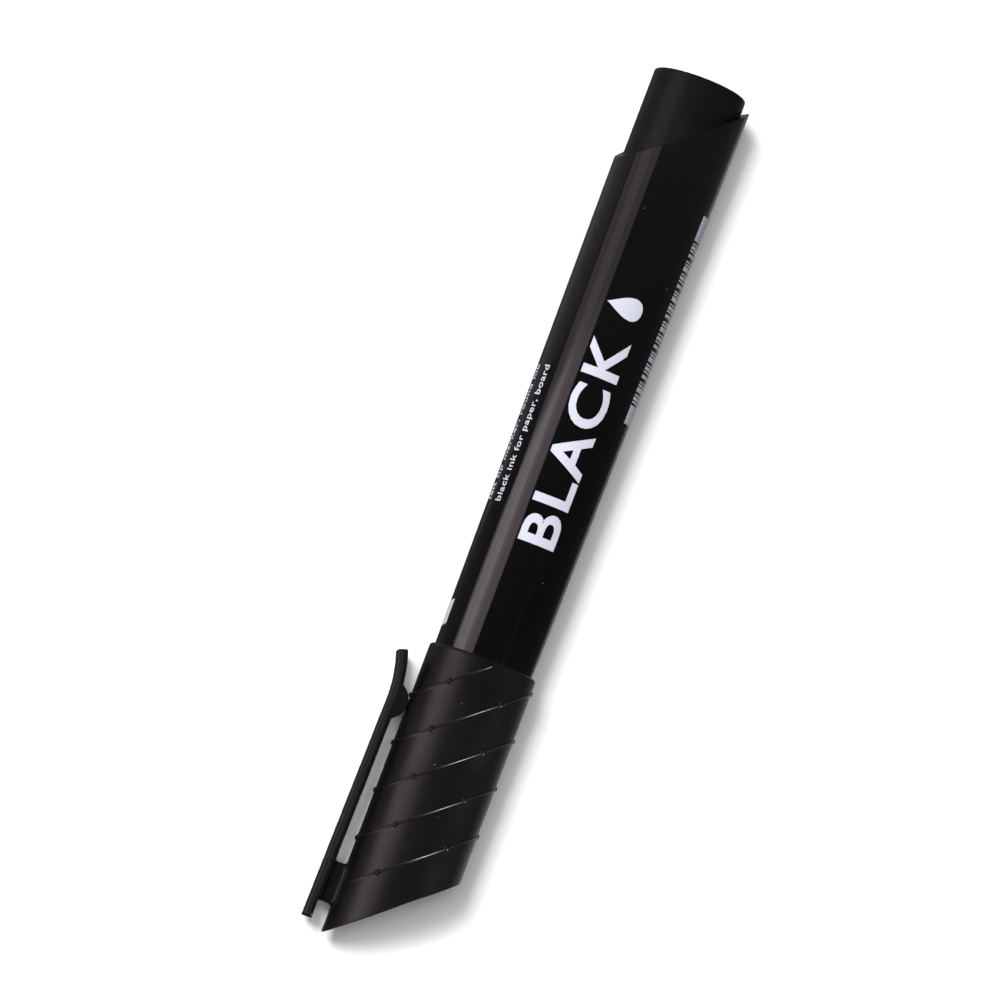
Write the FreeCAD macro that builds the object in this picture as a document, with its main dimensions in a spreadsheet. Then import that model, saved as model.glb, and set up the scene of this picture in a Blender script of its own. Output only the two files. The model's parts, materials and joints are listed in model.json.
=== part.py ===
"""Capped felt tip marker, built as separate pieces along one axis.

Each piece is drawn in the pen's own coordinates: X runs from the tip of the cap (0) to the tail, Y points
towards the pocket clip, and the pen's axis is X. One placement then lays every piece on the table: the nib
points along +X, and the pen has rolled over on its side until the cap's lines and one row of beads touch.
"""

import FreeCAD, Part

import math
import os

import Sketcher

Vector = FreeCAD.Vector
Rotation = FreeCAD.Rotation

SIZES = {
    # whole pen
    "pen_length": 141.3,
    # cap: a tube closed by a slanted end, with a thinner skirt at the rim
    "end_angle": 39.8,
    "cap_radius": 8.5,
    "cap_length": 46.9,
    "cap_end_wall": 1.2,
    "cap_bore": 7.12,
    "skirt_bore": 7.9,
    "skirt_depth": 4.0,
    "rim_rounding": 0.45,
    # raised lines parallel to the slanted end, with beads on them
    "line_pitch": 7.65,
    "line_width": 0.22,
    "line_height": 0.1,
    "bead_radius": 0.42,
    "bead_height": 0.3,
    # clip: heel, bridge and springy arm, seen from the side
    "clip_start": 1.57,
    "clip_reach": 12.145,
    "clip_lean": 0.77,
    "clip_thickness": 1.57,
    "heel_thickness": 1.35,
    "bridge_start": 4.45,
    "bridge_end": 10.85,
    "bridge_width": 3.4,
    "bridge_fillet": 0.55,
    "bridge_foot": 7.8,
    "hinge_place": 12.8,
    "hinge_radius": 1.2,
    "hinge_gap": 0.04,
    "lobe_place": 36.45,
    "lobe_half": 2.6,
    "lobe_gap": 0.08,
    "flare_start": 36.75,
    "flare_radius": 21.5,
    "flare_turn": 19.5,
    "clip_width": 5.2,
    "clip_tip_width": 4.4,
    # inner cap: a sealing cup held in the cap by its flange
    "cup_bore": 4.95,
    "cup_wall": 0.8,
    "cup_start": 13.8,
    "cup_mouth": 32.0,
    "cup_flange": 1.2,
    "cup_flare": 0.75,
    # front section
    "holder_tip": 19.0,
    "holder_mouth": 3.3,
    "holder_seal_start": 23.5,
    "holder_seal_end": 31.0,
    "holder_seal": 4.9,
    "holder_cone_end": 34.9,
    "holder_cone": 6.2,
    "holder_flange": 6.95,
    "holder_end": 46.0,
    "holder_hollow": 5.0,
    "holder_hollow_start": 38.5,
    "vent_width": 0.7,
    "vent_depth": 0.5,
    # nib
    "nib_radius": 2.3,
    "nib_tip": 15.2,
    "nib_ball": 1.3,
    "nib_ball_turn": 65.0,
    "nib_end": 54.0,
    # barrel
    "neck_start": 36.0,
    "neck_radius": 7.04,
    "neck_bore": 6.1,
    "barrel_start": 42.97,
    "barrel_front": 7.79,
    "barrel_tail": 8.582,
    "bore_front": 6.35,
    "bore_back": 6.95,
    "socket_start": 116.0,
    "socket_bore": 7.54,
    "tail_cut_place": 133.0,
    "tail_cut_turn": 14.0,
    # ink reservoir and its film
    "reservoir_start": 46.3,
    "reservoir_end": 116.1,
    "reservoir_radius": 6.0,
    "film_wall": 0.12,
    # tail plug
    "plug_start": 116.3,
    "plug_radius": 7.4,
    "plug_neck": 7.2,
    "plug_neck_end": 125.4,
    "plug_ring": 7.54,
    "plug_ring_width": 1.0,
    "plug_ring_place": 119.0,
    "plug_ring_step": 3.6,
    "plug_hollow": 5.9,
    "plug_end_wall": 1.6,
    "plug_rounding": 0.4,
    "plug_rib": 1.0,
}
SLOPE = "tan(dim.end_angle)"
OVERRUN = 12.0
LINE_COUNT = 5
BEADS_ROUND = 6

doc = FreeCAD.newDocument("felt_tip_marker")


def make_sheet():
    sheet = doc.addObject("Spreadsheet::Sheet", "dim")
    for row, (alias, value) in enumerate(SIZES.items(), start=1):
        sheet.set(f"A{row}", alias.replace("_", " "))
        sheet.set(f"B{row}", str(value))
        sheet.setAlias(f"B{row}", alias)
    doc.recompute()
    return sheet


dim = make_sheet()


def value_of(formula):
    return float(dim.evalExpression(str(formula)))


def bind(piece, **formulas):
    """Bind properties to formulas; a double underscore stands for a dot."""
    for name, formula in formulas.items():
        piece.setExpression(name.replace("__", "."), str(formula))


def origin_plane(body, role):
    return next(plane for plane in body.Origin.OriginFeatures if plane.Role == role)


def arc_edge(start, end, radius):
    """Minor arc from start to end; it turns left where the radius is positive."""
    chord = end - start
    half = chord.Length / 2
    rise = math.sqrt(max(radius * radius - half * half, 0.0))
    left = Vector(-chord.y, chord.x, 0).normalize()
    side = 1.0 if radius > 0 else -1.0
    middle = (start + end) / 2 + left * side * (rise - abs(radius))
    return Part.Arc(start, middle, end)


def outline(body, name, role, corners, offset=None):
    """Closed sketch on an origin plane.

    Each corner is a pair of formulas. A third formula is the signed radius of the arc that leaves it.
    """
    sketch = body.newObject("Sketcher::SketchObject", name)
    sketch.AttachmentSupport = [(origin_plane(body, role), "")]
    sketch.MapMode = "FlatFace"
    if offset is not None:
        sketch.AttachmentOffset = offset
    points = [Vector(value_of(corner[0]), value_of(corner[1]), 0) for corner in corners]
    starts = []
    for index, corner in enumerate(corners):
        start = points[index]
        end = points[(index + 1) % len(points)]
        if len(corner) == 3:
            radius = value_of(corner[2])
            sketch.addGeometry(arc_edge(start, end, radius), False)
            starts.append((1, 2) if radius > 0 else (2, 1))
        else:
            sketch.addGeometry(Part.LineSegment(start, end), False)
            starts.append((1, 2))
    for index in range(len(corners)):
        following = (index + 1) % len(corners)
        sketch.addConstraint(
            Sketcher.Constraint("Coincident", index, starts[index][1], following, starts[following][0]))
    for index, corner in enumerate(corners):
        point = points[index]
        for word, kind, place in (("along", "DistanceX", point.x), ("out", "DistanceY", point.y)):
            number = sketch.addConstraint(Sketcher.Constraint(kind, index, starts[index][0], place))
            sketch.renameConstraint(number, f"{word}{index}")
        sketch.setExpression(f"Constraints.along{index}", str(corner[0]))
        sketch.setExpression(f"Constraints.out{index}", str(corner[1]))
        if len(corner) == 3:
            number = sketch.addConstraint(Sketcher.Constraint("Radius", index, abs(value_of(corner[2]))))
            sketch.renameConstraint(number, f"radius{index}")
            sketch.setExpression(f"Constraints.radius{index}", f"abs({corner[2]})")
    return sketch


def new_body(name):
    return doc.addObject("PartDesign::Body", name)


def turned(body, name, corners):
    """Solid of revolution about the pen's axis."""
    sketch = outline(body, name + "_profile", "XY_Plane", corners)
    feature = body.newObject("PartDesign::Revolution", name)
    feature.Profile = sketch
    feature.ReferenceAxis = (sketch, ["H_Axis"])
    feature.Angle = 360
    return feature


def grooved(body, name, corners):
    """Hollow turned about the pen's axis; it has to remove material."""
    doc.recompute()
    before = body.Shape.Volume
    sketch = outline(body, name + "_profile", "XY_Plane", corners)
    feature = body.newObject("PartDesign::Groove", name)
    feature.Profile = sketch
    feature.ReferenceAxis = (sketch, ["H_Axis"])
    feature.Angle = 360
    doc.recompute()
    assert body.Shape.Volume < before, name
    return feature


def cut_through(body, name, corners, offset=None):
    """Pocket right through the body from its XY plane; it has to remove material."""
    doc.recompute()
    before = body.Shape.Volume
    sketch = outline(body, name + "_outline", "XY_Plane", corners, offset)
    feature = body.newObject("PartDesign::Pocket", name)
    feature.Profile = sketch
    feature.Type = "ThroughAll"
    feature.Midplane = True
    doc.recompute()
    assert body.Shape.Volume < before, name
    return feature


def slab(body, name, role, corners, width):
    """Outline made into a plate of the given width, half on each side of its plane."""
    sketch = outline(body, name + "_outline", role, corners)
    feature = body.newObject("PartDesign::Pad", name)
    feature.Profile = sketch
    feature.Midplane = True
    bind(feature, Length=width)
    return feature


def boolean(kind, name, pieces):
    """Part::MultiFuse, Part::MultiCommon or Part::Cut of document objects."""
    result = doc.addObject(kind, name)
    if kind == "Part::Cut":
        result.Base, result.Tool = pieces
    else:
        result.Shapes = pieces
    return result


def beyond_slanted_end(place):
    """Region on the cap tip's side of a plane that crosses the axis at the given place."""
    near = f"{place} - {OVERRUN} * {SLOPE}"
    far = f"{place} + {OVERRUN} * {SLOPE}"
    return [(near, OVERRUN), (f"-{OVERRUN}", OVERRUN), (f"-{OVERRUN}", -OVERRUN), (far, -OVERRUN)]


def on_axis(place):
    return (place, "0")


# cap -------------------------------------------------------------------------------------------------------

END_PLACE = f"dim.cap_radius * {SLOPE}"
BEAD_BALL = "((dim.bead_radius ^ 2 + dim.bead_height ^ 2) / (2 * dim.bead_height))"
BEAD_CENTRE = f"(dim.cap_radius + dim.bead_height - {BEAD_BALL})"


def make_cap_wall():
    body = new_body("cap_wall")
    turned(body, "cap_rod", [
        on_axis("0"),
        ("0", "dim.cap_radius"),
        ("dim.cap_length - dim.rim_rounding", "dim.cap_radius", "-dim.rim_rounding"),
        ("dim.cap_length", "dim.cap_radius - dim.rim_rounding"),
        on_axis("dim.cap_length"),
    ])
    cut_through(body, "slanted_end", beyond_slanted_end(END_PLACE))
    return body


def make_cap_hollow():
    body = new_body("cap_hollow")
    turned(body, "hollow_rod", [
        on_axis("0"),
        ("0", "dim.cap_bore"),
        ("dim.cap_length - dim.skirt_depth", "dim.cap_bore"),
        ("dim.cap_length - dim.skirt_depth", "dim.skirt_bore"),
        ("dim.cap_length + 1", "dim.skirt_bore"),
        on_axis("dim.cap_length + 1"),
    ])
    cut_through(body, "hollow_end", beyond_slanted_end(f"{END_PLACE} + dim.cap_end_wall / cos(dim.end_angle)"))
    return body


def make_lines():
    """Raised lines: thin slanted discs, trimmed to a cylinder a little larger than the cap."""
    discs = []
    for number in range(LINE_COUNT):
        disc = doc.addObject("Part::Box", f"line_disc_{number + 1}")
        bind(disc, Length="dim.line_width", Width=2 * OVERRUN, Height=2 * OVERRUN)
        disc.Placement.Rotation = Rotation(Vector(0, 0, 1), value_of("dim.end_angle"))
        # the box turns about one corner, so that corner is moved back along the disc by half its width
        bind(disc,
             Placement__Base__x=f"{END_PLACE} + {number + 1} * dim.line_pitch + {OVERRUN} * sin(dim.end_angle)",
             Placement__Base__y=f"-{OVERRUN} * cos(dim.end_angle)",
             Placement__Base__z=f"-{OVERRUN}")
        discs.append(disc)
    sleeve = doc.addObject("Part::Cylinder", "line_sleeve")
    bind(sleeve, Radius="dim.cap_radius + dim.line_height", Height="dim.cap_length - dim.rim_rounding")
    sleeve.Placement.Rotation = Rotation(Vector(0, 1, 0), 90)
    return boolean("Part::MultiCommon", "cap_lines", [boolean("Part::MultiFuse", "line_discs", discs), sleeve])


def make_beads():
    """Round beads on each line, evenly spaced round the cap from the clip's direction."""
    beads = []
    last_place = value_of("dim.cap_length - dim.rim_rounding - dim.bead_radius")
    for line in range(LINE_COUNT):
        for step in range(BEADS_ROUND):
            turn = step * 360 / BEADS_ROUND
            place = (f"{END_PLACE} + {line + 1} * dim.line_pitch"
                     f" - dim.cap_radius * cos({turn}) * {SLOPE}")
            under_bridge = step == 0 and line == 0
            if value_of(place) > last_place or under_bridge:
                continue
            bead = doc.addObject("Part::Sphere", f"bead_{line + 1}_{step + 1}")
            bind(bead,
                 Radius=BEAD_BALL,
                 Placement__Base__x=place,
                 Placement__Base__y=f"{BEAD_CENTRE} * cos({turn})",
                 Placement__Base__z=f"{BEAD_CENTRE} * sin({turn})")
            beads.append(bead)
    return beads


def outer_face(place):
    """Distance of the clip's straight outer face from the axis."""
    return f"(dim.clip_reach - ({place}) * tan(dim.clip_lean))"


def inner_face(place):
    return f"({outer_face(place)} - dim.clip_thickness)"


def hinge_edge(radius):
    """Where an arc about the hinge crosses the clip's faces."""
    return f"(dim.hinge_place - sqrt(({radius}) ^ 2 - (dim.clip_thickness / 2) ^ 2))"


def make_clip_root():
    """Heel and narrower bridge, one moulding with the cap; the arm's round end seats in the heel."""
    seat = "dim.hinge_radius + dim.hinge_gap"
    heel = f"({outer_face('dim.clip_start')} - dim.heel_thickness)"
    fillet = "dim.bridge_fillet"
    body = new_body("clip_root")
    step = "dim.bridge_start + dim.bridge_fillet"
    slab(body, "heel", "XY_Plane", [
        ("dim.clip_start", heel),
        (step, heel),
        (step, inner_face(step)),
        (hinge_edge(seat), inner_face(hinge_edge(seat)), f"-({seat})"),
        (hinge_edge(seat), outer_face(hinge_edge(seat))),
        ("dim.clip_start", outer_face("dim.clip_start")),
    ], "dim.clip_width")
    left = f"dim.bridge_start - {fillet}"
    right = f"dim.bridge_end + {fillet}"
    slab(body, "bridge", "XY_Plane", [
        (left, f"{heel} + {fillet}"),
        (left, heel, f"-{fillet}"),
        ("dim.bridge_start", f"{heel} - {fillet}"),
        ("dim.bridge_start", f"dim.cap_radius + {fillet}", f"-{fillet}"),
        (left, "dim.cap_radius"),
        (left, "dim.bridge_foot"),
        (right, "dim.bridge_foot"),
        (right, "dim.cap_radius", f"-{fillet}"),
        ("dim.bridge_end", f"dim.cap_radius + {fillet}"),
        ("dim.bridge_end", f"{inner_face(right)} - {fillet}", f"-{fillet}"),
        (right, inner_face(right)),
        (right, f"{inner_face(right)} + {fillet}"),
    ], "dim.bridge_width")
    return body


def make_pocket_clip():
    """Arm of the clip: its side view and its tapered top view, and what both have in common."""
    inner_radius = "(dim.flare_radius + dim.clip_thickness)"
    flare_height = f"({outer_face('dim.flare_start')} + dim.flare_radius)"
    lobe_left = "dim.lobe_place - dim.lobe_half"
    lobe_right = "dim.lobe_place + dim.lobe_half"
    right_rise = f"({flare_height} - sqrt({inner_radius} ^ 2 - ({lobe_right} - dim.flare_start) ^ 2))"
    lobe_sag = f"({inner_face('dim.lobe_place')} - dim.cap_radius - dim.lobe_gap)"
    lobe_radius = f"((dim.lobe_half ^ 2 + {lobe_sag} ^ 2) / (2 * {lobe_sag}))"

    side = new_body("clip_side")
    slab(side, "clip_side_plate", "XY_Plane", [
        (hinge_edge("dim.hinge_radius"), inner_face(hinge_edge("dim.hinge_radius"))),
        (lobe_left, inner_face(lobe_left), lobe_radius),
        (lobe_right, right_rise, inner_radius),
        (f"dim.flare_start + {inner_radius} * sin(dim.flare_turn)",
         f"{flare_height} - {inner_radius} * cos(dim.flare_turn)"),
        (f"dim.flare_start + dim.flare_radius * sin(dim.flare_turn)",
         f"{flare_height} - dim.flare_radius * cos(dim.flare_turn)", "-dim.flare_radius"),
        ("dim.flare_start", outer_face("dim.flare_start")),
        (hinge_edge("dim.hinge_radius"), outer_face(hinge_edge("dim.hinge_radius")), "dim.hinge_radius"),
    ], "2 * dim.clip_width")

    top = new_body("clip_top")
    sketch = outline(top, "clip_top_outline", "XZ_Plane", [
        ("dim.hinge_place - 2 * dim.hinge_radius", "-dim.clip_width / 2"),
        ("dim.cap_length", "-dim.clip_tip_width / 2"),
        ("dim.cap_length", "dim.clip_tip_width / 2"),
        ("dim.hinge_place - 2 * dim.hinge_radius", "dim.clip_width / 2"),
    ])
    plate = top.newObject("PartDesign::Pad", "clip_top_plate")
    plate.Profile = sketch
    plate.Midplane = True
    bind(plate, Length="4 * dim.clip_reach")
    return boolean("Part::MultiCommon", "pocket_clip", [side, top])


def make_cap_shell():
    moulded = [make_cap_wall(), make_lines(), make_clip_root()] + make_beads()
    solid = boolean("Part::MultiFuse", "cap_solid", moulded)
    return boolean("Part::Cut", "cap_shell", [solid, make_cap_hollow()])


def make_inner_cap():
    body = new_body("inner_cap")
    flange = "dim.cup_mouth - dim.cup_flange"
    outer = "dim.cup_bore + dim.cup_wall"
    turned(body, "cup", [
        on_axis("dim.cup_start"),
        ("dim.cup_start", outer),
        (flange, outer),
        (flange, "dim.cap_bore"),
        ("dim.cup_mouth", "dim.cap_bore"),
        ("dim.cup_mouth", "dim.cup_bore + dim.cup_flare"),
        ("dim.cup_mouth - dim.cup_flange", "dim.cup_bore"),
        ("dim.cup_start + dim.cup_wall", "dim.cup_bore"),
        on_axis("dim.cup_start + dim.cup_wall"),
    ])
    return body


# pen -------------------------------------------------------------------------------------------------------


def make_barrel():
    body = new_body("barrel")
    turned(body, "barrel_wall", [
        ("dim.neck_start", "dim.neck_bore"),
        ("dim.neck_start", "dim.neck_radius"),
        ("dim.barrel_start", "dim.neck_radius"),
        ("dim.barrel_start", "dim.barrel_front"),
        ("dim.pen_length", "dim.barrel_tail"),
        ("dim.pen_length", "dim.socket_bore"),
        ("dim.socket_start", "dim.socket_bore"),
        ("dim.socket_start", "dim.bore_back"),
        ("dim.holder_end", "dim.bore_front"),
        ("dim.holder_end", "dim.neck_bore"),
    ])
    near = f"dim.tail_cut_place - {OVERRUN} * {SLOPE}"
    far = f"dim.tail_cut_place + {OVERRUN} * {SLOPE}"
    past = f"dim.pen_length + {OVERRUN}"
    turn = FreeCAD.Placement(Vector(), Rotation(Vector(1, 0, 0), value_of("dim.tail_cut_turn")))
    cut_through(body, "tail_cut", [(near, OVERRUN), (past, OVERRUN), (past, -OVERRUN), (far, -OVERRUN)], turn)
    return body


def make_tail_plug():
    body = new_body("tail_plug")
    turned(body, "plug", [
        on_axis("dim.plug_start"),
        ("dim.plug_start", "dim.plug_neck"),
        ("dim.plug_neck_end", "dim.plug_neck"),
        ("dim.plug_neck_end", "dim.plug_radius"),
        ("dim.pen_length - dim.plug_rounding", "dim.plug_radius", "-dim.plug_rounding"),
        ("dim.pen_length", "dim.plug_radius - dim.plug_rounding"),
        on_axis("dim.pen_length"),
    ])
    for number in range(2):
        place = f"dim.plug_ring_place + {number} * dim.plug_ring_step"
        turned(body, f"seal_ring_{number + 1}", [
            (place, "dim.plug_hollow"),
            (place, "dim.plug_neck"),
            (f"{place} + dim.plug_ring_width / 2", "dim.plug_ring"),
            (f"{place} + dim.plug_ring_width", "dim.plug_neck"),
            (f"{place} + dim.plug_ring_width", "dim.plug_hollow"),
        ])
    floor_place = "dim.pen_length - dim.plug_end_wall"
    grooved(body, "plug_hollow", [
        on_axis("dim.plug_start"),
        ("dim.plug_start", "dim.plug_hollow"),
        (floor_place, "dim.plug_hollow"),
        on_axis(floor_place),
    ])
    # the cross ribs run a little way into the plug's wall and floor
    rib_end = f"{floor_place} + dim.plug_rib / 4"
    rib_reach = "dim.plug_hollow + dim.plug_rib / 4"
    for number, role in enumerate(("XY_Plane", "XZ_Plane"), start=1):
        slab(body, f"cross_rib_{number}", role, [
            ("dim.plug_start", f"-({rib_reach})"),
            (rib_end, f"-({rib_reach})"),
            (rib_end, rib_reach),
            ("dim.plug_start", rib_reach),
        ], "dim.plug_rib")
    return body


def make_nib_holder():
    body = new_body("nib_holder")
    turned(body, "holder", [
        ("dim.holder_tip", "dim.nib_radius"),
        ("dim.holder_tip", "dim.holder_mouth"),
        ("dim.holder_seal_start", "dim.holder_seal"),
        ("dim.holder_seal_end", "dim.holder_seal"),
        ("dim.holder_cone_end", "dim.holder_cone"),
        ("dim.holder_cone_end", "dim.holder_flange"),
        ("dim.neck_start", "dim.holder_flange"),
        ("dim.neck_start", "dim.neck_bore"),
        ("dim.holder_end", "dim.neck_bore"),
        ("dim.holder_end", "dim.holder_hollow"),
        ("dim.holder_hollow_start", "dim.holder_hollow"),
        ("dim.holder_hollow_start", "dim.nib_radius"),
    ])
    reach = "dim.nib_radius + dim.vent_depth"
    for number, role in enumerate(("XY_Plane", "XZ_Plane"), start=1):
        doc.recompute()
        before = body.Shape.Volume
        sketch = outline(body, f"vent_outline_{number}", role, [
            ("dim.holder_tip - 1", f"-({reach})"),
            ("dim.holder_hollow_start + 1", f"-({reach})"),
            ("dim.holder_hollow_start + 1", reach),
            ("dim.holder_tip - 1", reach),
        ])
        vent = body.newObject("PartDesign::Pocket", f"vent_{number}")
        vent.Profile = sketch
        vent.Midplane = True
        bind(vent, Length="dim.vent_width")
        doc.recompute()
        assert body.Shape.Volume < before, vent.Name
    return body


def make_nib():
    """Fibre rod with a round tip that runs smoothly into a cone."""
    ball_end = "(dim.nib_tip + dim.nib_ball * (1 - cos(dim.nib_ball_turn)))"
    ball_edge = "(dim.nib_ball * sin(dim.nib_ball_turn))"
    body = new_body("nib")
    turned(body, "nib_rod", [
        ("dim.nib_tip", "0", "-dim.nib_ball"),
        (ball_end, ball_edge),
        (f"{ball_end} + (dim.nib_radius - {ball_edge}) * tan(dim.nib_ball_turn)", "dim.nib_radius"),
        ("dim.nib_end - dim.nib_radius / 2", "dim.nib_radius"),
        ("dim.nib_end", "dim.nib_radius / 2"),
        on_axis("dim.nib_end"),
    ])
    return body


def make_reservoir():
    body = new_body("ink_reservoir")
    turned(body, "fibre_rod", [
        ("dim.reservoir_start", "dim.nib_radius"),
        ("dim.reservoir_start", "dim.reservoir_radius"),
        ("dim.reservoir_end", "dim.reservoir_radius"),
        on_axis("dim.reservoir_end"),
        on_axis("dim.nib_end"),
        ("dim.nib_end", "dim.nib_radius / 2"),
        ("dim.nib_end - dim.nib_radius / 2", "dim.nib_radius"),
    ])
    return body


def make_film():
    body = new_body("reservoir_film")
    outer = "dim.reservoir_radius + dim.film_wall"
    turned(body, "film", [
        ("dim.reservoir_start", "dim.reservoir_radius"),
        ("dim.reservoir_start", outer),
        ("dim.reservoir_end", outer),
        ("dim.reservoir_end", "dim.reservoir_radius"),
    ])
    return body


def check(pieces):
    for thing in doc.Objects:
        assert "Invalid" not in thing.State and "Error" not in thing.State, (thing.Name, thing.State)
    for piece in pieces:
        assert not piece.Shape.isNull() and piece.Shape.isValid(), piece.Label
        assert len(piece.Shape.Solids) == 1, (piece.Label, len(piece.Shape.Solids))


def lay_down(pieces):
    """Turn the nib to +X, roll the pen onto its beads and set the origin under the middle of its box."""
    ground = value_of("dim.cap_radius + dim.line_height")
    bead_lean = math.degrees(math.acos((ground - value_of(BEAD_BALL)) / value_of(BEAD_CENTRE)))
    roll = 90 - 360 / BEADS_ROUND - bead_lean
    turn = Rotation(Vector(1, 0, 0), roll) * Rotation(Vector(0, 0, 1), 180)
    axis_start = Vector(value_of("dim.pen_length / 2"), 0, ground)
    boxes = FreeCAD.BoundBox()
    for piece in pieces:
        piece.Placement = FreeCAD.Placement(axis_start, turn)
        boxes.add(piece.Shape.optimalBoundingBox(True, False))
    aside = -(boxes.YMin + boxes.YMax) / 2
    for piece in pieces:
        piece.Placement = FreeCAD.Placement(axis_start + Vector(0, aside, 0), turn)
    print(f"roll {roll:.3f} axis at y {aside:.3f} z {ground:.3f} box {boxes}")


PIECES = [
    make_barrel(),
    make_tail_plug(),
    make_nib_holder(),
    make_nib(),
    make_reservoir(),
    make_film(),
    make_cap_shell(),
    make_inner_cap(),
    make_pocket_clip(),
]
doc.recompute()
check(PIECES)
lay_down(PIECES)
doc.recompute()
check(PIECES)

os.makedirs("parts", exist_ok=True)
for piece in PIECES:
    piece.Shape.exportStep(f"parts/{piece.Label}.step")
    print(f"{piece.Label}: {piece.Shape.Volume:.1f} mm3")
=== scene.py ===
"""Looks of the capped felt tip marker.

Pieces are drawn in the pen's own coordinates, in millimetres: X runs from the tip of the cap to the
tail, Y points towards the pocket clip and Z to the top of the pen. TO_ROW then puts every vertex into
the row frame, in metres. A turn is an angle round the pen's axis, from the clip's direction towards
the top.
"""

import json
import math

import bmesh
import bpy
from mathutils import Matrix, Quaternion, Vector


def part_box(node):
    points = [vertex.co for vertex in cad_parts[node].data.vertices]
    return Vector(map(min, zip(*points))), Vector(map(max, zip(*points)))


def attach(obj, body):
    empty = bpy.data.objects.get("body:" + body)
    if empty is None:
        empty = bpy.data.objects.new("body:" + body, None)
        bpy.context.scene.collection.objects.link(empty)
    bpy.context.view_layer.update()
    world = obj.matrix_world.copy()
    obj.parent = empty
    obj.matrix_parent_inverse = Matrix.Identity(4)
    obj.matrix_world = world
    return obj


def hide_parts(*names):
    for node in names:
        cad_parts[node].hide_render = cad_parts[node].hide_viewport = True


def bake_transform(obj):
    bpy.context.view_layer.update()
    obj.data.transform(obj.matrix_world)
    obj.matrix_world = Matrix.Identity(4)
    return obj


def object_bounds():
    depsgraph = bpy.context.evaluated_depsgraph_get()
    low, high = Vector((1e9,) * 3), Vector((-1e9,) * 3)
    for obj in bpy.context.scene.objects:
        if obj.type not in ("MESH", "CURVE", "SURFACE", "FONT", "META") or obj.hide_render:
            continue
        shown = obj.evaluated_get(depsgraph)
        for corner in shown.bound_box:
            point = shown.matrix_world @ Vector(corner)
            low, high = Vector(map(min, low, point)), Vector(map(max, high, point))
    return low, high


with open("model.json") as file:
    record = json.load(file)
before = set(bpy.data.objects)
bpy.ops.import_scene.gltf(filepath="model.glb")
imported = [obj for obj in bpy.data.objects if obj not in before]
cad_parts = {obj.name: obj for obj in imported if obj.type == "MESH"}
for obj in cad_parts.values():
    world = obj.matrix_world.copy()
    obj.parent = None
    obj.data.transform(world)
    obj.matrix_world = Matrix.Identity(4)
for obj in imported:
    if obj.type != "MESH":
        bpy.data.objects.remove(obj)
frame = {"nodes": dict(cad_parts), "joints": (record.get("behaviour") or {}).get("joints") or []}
cad_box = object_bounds()

# the pen's axis and directions, from the frame ----------------------------------------------------

MM = 0.001
joints = {joint["name"]: joint for joint in frame["joints"]}
TOP_WAY = Vector(joints["clip_flex"]["axis"])
CLIP_WAY = Vector((0.0, -TOP_WAY.z, TOP_WAY.y))
plug_low, plug_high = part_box("tail_plug")
AXIS_START = Vector((cad_box[1].x, (plug_low.y + plug_high.y) / 2, (plug_low.z + plug_high.z) / 2))
AXIS_MIDDLE = Vector(((cad_box[0].x + cad_box[1].x) / 2, AXIS_START.y, AXIS_START.z))
TO_ROW = Matrix((
    (-MM, CLIP_WAY.x * MM, TOP_WAY.x * MM, AXIS_START.x),
    (0.0, CLIP_WAY.y * MM, TOP_WAY.y * MM, AXIS_START.y),
    (0.0, CLIP_WAY.z * MM, TOP_WAY.z * MM, AXIS_START.z),
    (0.0, 0.0, 0.0, 1.0),
))


def along(point):
    """Distance of a point of the row frame from the tip of the cap, in millimetres."""
    return (AXIS_START.x - point.x) / MM


# sizes, in millimetres ----------------------------------------------------------------------------

PEN_LENGTH = along(cad_box[0])
SLOPE = math.tan(math.radians(39.8))

CAP_RADIUS = 8.5
CAP_LENGTH = along(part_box("cap_shell")[0])
CAP_END_WALL = 1.2
CAP_BORE = 7.12
SKIRT_BORE = 7.9
SKIRT_DEPTH = 4.0
RIM_ROUNDING = 0.45
END_PLACE = CAP_RADIUS * SLOPE
LINE_COUNT = 5
LINE_PITCH = 7.65
LINE_HALF_WIDTH = 0.19
LINE_HEIGHT = 0.13
RIDGE = ((-1.6, 0.0), (-1.0, 0.05), (-0.5, 0.8), (0.0, 1.0), (0.5, 0.8), (1.0, 0.05), (1.6, 0.0))
BEADS_ROUND = 6
BEAD_RADIUS = 0.42
BEAD_HEIGHT = 0.3

CLIP_START = 1.57
CLIP_REACH = 12.145
CLIP_LEAN = math.tan(math.radians(0.77))
CLIP_THICKNESS = 1.57
HEEL_THICKNESS = 1.35
HEEL_END = 5.0
BRIDGE_START = 4.45
BRIDGE_END = 10.85
BRIDGE_WIDTH = 3.4
BRIDGE_FILLET = 0.55
LOBE_PLACE = 36.45
LOBE_HALF = 2.6
LOBE_GAP = 0.08
LOBE_FOOT = 0.03
FLARE_START = 36.75
FLARE_RADIUS = 21.5
FLARE_TURN = math.radians(19.5)
CLIP_WIDTH = 5.2
CLIP_TIP_WIDTH = 4.4
CLIP_EDGE = 0.3
CLIP_SIDE_LEAN = math.tan(math.radians(17.0))
CLIP_CREST = 0.62

BARREL_START = 42.97
BARREL_FRONT = 7.79
BARREL_TAIL = 8.582
NECK_START = along(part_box("barrel")[1])
NECK_RADIUS = 7.04
NECK_BORE = 6.1
HOLDER_END = 46.0
BORE_FRONT = 6.35
BORE_BACK = 6.95
SOCKET_START = 116.0
SOCKET_BORE = 7.54
TAIL_CUT_PLACE = 133.0
TAIL_CUT_TURN = math.radians(14.0)

PLUG_RADIUS = 7.4
PLUG_NECK = 7.2
PLUG_NECK_END = 125.4

HOLDER_FRONT = 23.5
HOLDER_STEP = 31.0
HOLDER_FLANGE = 34.9
HOLDER_BACK = 38.5
HOLDER_BORE = 5.0
NIB_RADIUS = 2.3
VENT_HALF_WIDTH = 0.35
VENT_DEPTH = 0.5
CUP_BORE = 4.95
CUP_WALL = 0.8

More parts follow.
